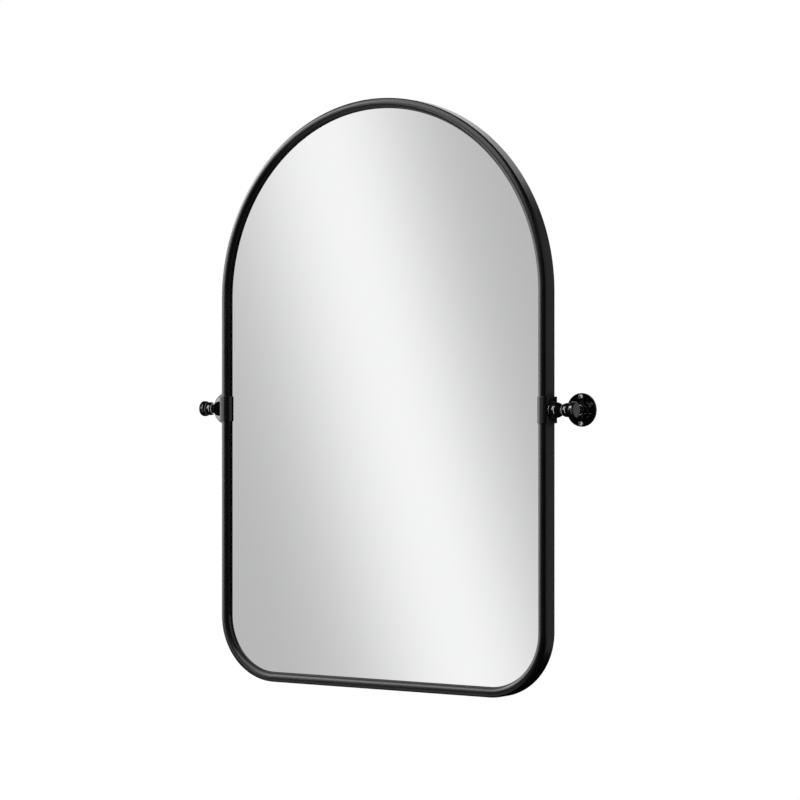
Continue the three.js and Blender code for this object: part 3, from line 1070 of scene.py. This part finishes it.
def makeWorld():
    world = bpy.data.worlds.new("studioAir")
    world.use_nodes = True
    scene.world = world
    shader = Shader(world.node_tree)
    ray = shader.add("LightPath")
    kinds = ("Camera", "Glossy", "Transmission")
    camera, glossy, through = (shader.wire(ray, f"Is {kind} Ray") for kind in kinds)
    seen = (camera + glossy + through).atMost(1.0)
    strength = airLook["brightness"] + seen * (1.0 - airLook["brightness"])
    air = shader.add("Background", sockets={"Color": (1, 1, 1, 1), "Strength": strength})
    shader.add("OutputWorld", sockets={"Surface": shader.wire(air)})


floorLook = {
    "drop": 0.55,  # under the frame
    "radius": 2.6,
    "steps": 96,
    "fadeStart": 0.45,  # the fade is in shares of the radius
    "fadeWidth": 0.5,
    "colour": (0.93, 0.93, 0.925, 1),
    "roughness": 0.6,
}


def makeFloor():
    look = floorLook
    material, shader = newMaterial("paleFloor")
    x, y = shader.axes()[:2]
    reach = (x * x + y * y) ** 0.5 / look["radius"]
    fade = ((reach - look["fadeStart"]) / look["fadeWidth"]).atLeast(0.0).atMost(1.0)
    paint = {"Base Color": look["colour"], "Roughness": look["roughness"]}
    pale = shader.wire(shader.add("BsdfPrincipled", sockets=paint))
    clear = shader.wire(shader.add("BsdfTransparent"))
    shader.output(shader.add("MixShader", sockets={0: fade, 1: pale, 2: clear}))
    bm = bmesh.new()
    bmesh.ops.create_circle(bm, cap_ends=True, radius=look["radius"], segments=look["steps"])
    bmesh.ops.translate(bm, verts=bm.verts[:], vec=(0, 0, frameLow.z - look["drop"]))
    floor = newObject(bm, "floor", material)
    floor.visible_glossy = False


screenLook = {
    "radius": 6.0,
    "height": 9.0,
    "steps": 180,
    "bandPlace": -3.547,  # the middle of a band, measured round the screen at the pivots' height
    "bandEvery": 1.78,
    "lean": 0.2611,  # in radians
    "low": 0.484,
    "high": 0.932,
    "leftWidth": 0.390,
    "rightWidth": 0.339,
    "power": 2.055,  # how steep the sides of a band are
    "endGap": 0.01,  # how far the bands stay from the screen's top and bottom
}


# a round screen that only the glass and the bright metal mirror: grey, with slanting bright bands
def makeScreen(receivers):
    look = screenLook
    radius, halfHeight, every = look["radius"], look["height"] / 2, look["bandEvery"]
    material, shader = newMaterial("bandedScreen")
    x, y, z = shader.axes()
    along = x.maths("ARCTAN2", x, y * -1.0) * radius
    across = (along - look["bandPlace"]) * math.cos(look["lean"]) + z * math.sin(look["lean"])
    across = across.maths("WRAP", across, every / 2, -every / 2)
    reach = across.atLeast(0.0) / look["rightWidth"] - across.atMost(0.0) / look["leftWidth"]
    bell = reach.maths("EXPONENT", reach ** look["power"] * -1.0)
    onSide = z.maths("LESS_THAN", z.maths("ABSOLUTE", z), halfHeight - look["endGap"])
    glow = look["low"] + bell * onSide * (look["high"] - look["low"])
    shader.output(shader.add("Emission", sockets={"Color": (1, 1, 1, 1), "Strength": glow}))
    bm = bmesh.new()
    pen = Pen(bm, 0, -halfHeight)
    pen.line(radius, -halfHeight)
    pen.line(radius, halfHeight)
    pen.line(0, halfHeight)
    turnRound(bm, look["steps"])
    screen = newObject(bm, "screen", material)
    screen.visible_camera = False
    screen.visible_diffuse = False
    screen.visible_shadow = False
    screen.light_linking.receiver_collection = receivers


# brightness is that of the box's face, so it doesn't change with the box's size
def addSoftbox(name, place, target, width, height, brightness, receivers):
    lamp = bpy.data.lights.new(name, "AREA")
    lamp.shape = "RECTANGLE"
    lamp.size, lamp.size_y = width, height
    lamp.energy = brightness * math.pi * width * height
    box = bpy.data.objects.new(name, lamp)
    scene.collection.objects.link(box)
    box.location = place
    box.rotation_euler = (Vector(target) - Vector(place)).to_track_quat("-Z", "Y").to_euler()
    box.visible_camera = False
    box.light_linking.receiver_collection = receivers


fittingNames = ("ballSpacer", "knob", "post", "wallPlate", "wallScrew", "Washer")
brightNames = ("mirrorGlass", "Screw", "Washer", "boardTab", "rivet_nut", "pivot_stud")
turnedNames = ("ballSpacerRight", "knob", "postLeft", "postRight")


def isFitting(name):
    return any(word in name for word in fittingNames)


def isBright(name):
    return any(word in name for word in brightNames)


brightGroup = groupOf("litByScreen", isBright)
frameGroup = groupOf("litOnFrame", lambda name: name != "mirrorGlass" and not isFitting(name))
fittingGroup = groupOf("litOnFittings", isFitting)
blackGroup = groupOf("litOnBlacks", lambda name: not isBright(name))
turnedGroup = groupOf("litByStrip", lambda name: name.startswith(turnedNames))
plateGroup = groupOf("litOnPlate", lambda name: name == "wallPlateLeft")
makeWorld()
makeFloor()
makeScreen(brightGroup)
wallCentre = (0, 0, 0)
softboxes = (  # name, place, target, width, height, brightness, the pieces it reaches
    ("sideBox", (-2.94, -1.33, 0.9), wallCentre, 3.7, 3.3, 4.2, frameGroup),
    ("topBox", (-0.5, -1.5, 2.5), wallCentre, 3.4, 3.4, 3.0, frameGroup),
    ("browBox", (-0.9, -2.7, 1.35), wallCentre, 3.0, 0.9, 1.1, frameGroup),
    ("shoulderBox", (-2.74, -0.48, 1.25), wallCentre, 2.2, 0.9, 6, frameGroup),
    ("crownBox", (-0.4, 2.6, 1.9), wallCentre, 2.4, 1.4, 1.1, frameGroup),
    ("rearBox", (1.75, 2.5, 0.0), wallCentre, 2.2, 3.0, 0.28, frameGroup),
    ("endBox", (1.75, 2.5, 0.0), wallCentre, 2.2, 3.0, 0.56, fittingGroup),
    ("backBox", (-0.9, 3.0, 1.2), wallCentre, 3.0, 2.2, 0.8, blackGroup),
    ("rightBox", (3.1, 0.65, 0.5), wallCentre, 1.5, 3.2, 0.7, blackGroup),
    ("lowBox", (-1.2, -1.3, -2.2), wallCentre, 3.0, 2.4, 0.7, frameGroup),
    ("stripBox", (-0.56, -2.34, 0.5), (0.1, 0, 0.5), 0.26, 6.0, 13, turnedGroup),
    ("knobBox", (-1.30, -1.85, 1.15), (0.1, 0, 0), 0.7, 2.2, 11, turnedGroup),
    ("plateBox", (-2.30, -2.35, 0.1), (-0.3, 0, 0), 1.1, 1.0, 8, plateGroup),
)
for softbox in softboxes:
    addSoftbox(*softbox)


cameraLook = {
    "azimuth": 34.69,
    "distance": 4.349,
    "sensorWidth": 36,
    "farLimit": 100,
    "focalPixels": 2810,
    "centreX": 381.3,
    "centreY": 393.8,
    "picture": 800,
}


def makeCamera():
    look = cameraLook
    data = bpy.data.cameras.new("camera")
    data.sensor_width = look["sensorWidth"]
    data.lens = look["focalPixels"] / look["picture"] * data.sensor_width
    data.shift_x = (look["picture"] / 2 - look["centreX"]) / look["picture"]
    data.shift_y = (look["centreY"] - look["picture"] / 2) / look["picture"]
    data.clip_end = look["farLimit"]
    camera = bpy.data.objects.new("camera", data)
    scene.collection.objects.link(camera)
    turn = math.radians(look["azimuth"])
    middle = (frameLow + frameHigh) / 2
    back = Vector((math.sin(turn), -math.cos(turn), 0)) * look["distance"]
    camera.location = middle + back
    camera.rotation_euler = (math.pi / 2, 0, turn)
    scene.camera = camera


makeCamera()
scene.view_settings.view_transform = "Standard"
print("studio and camera made")
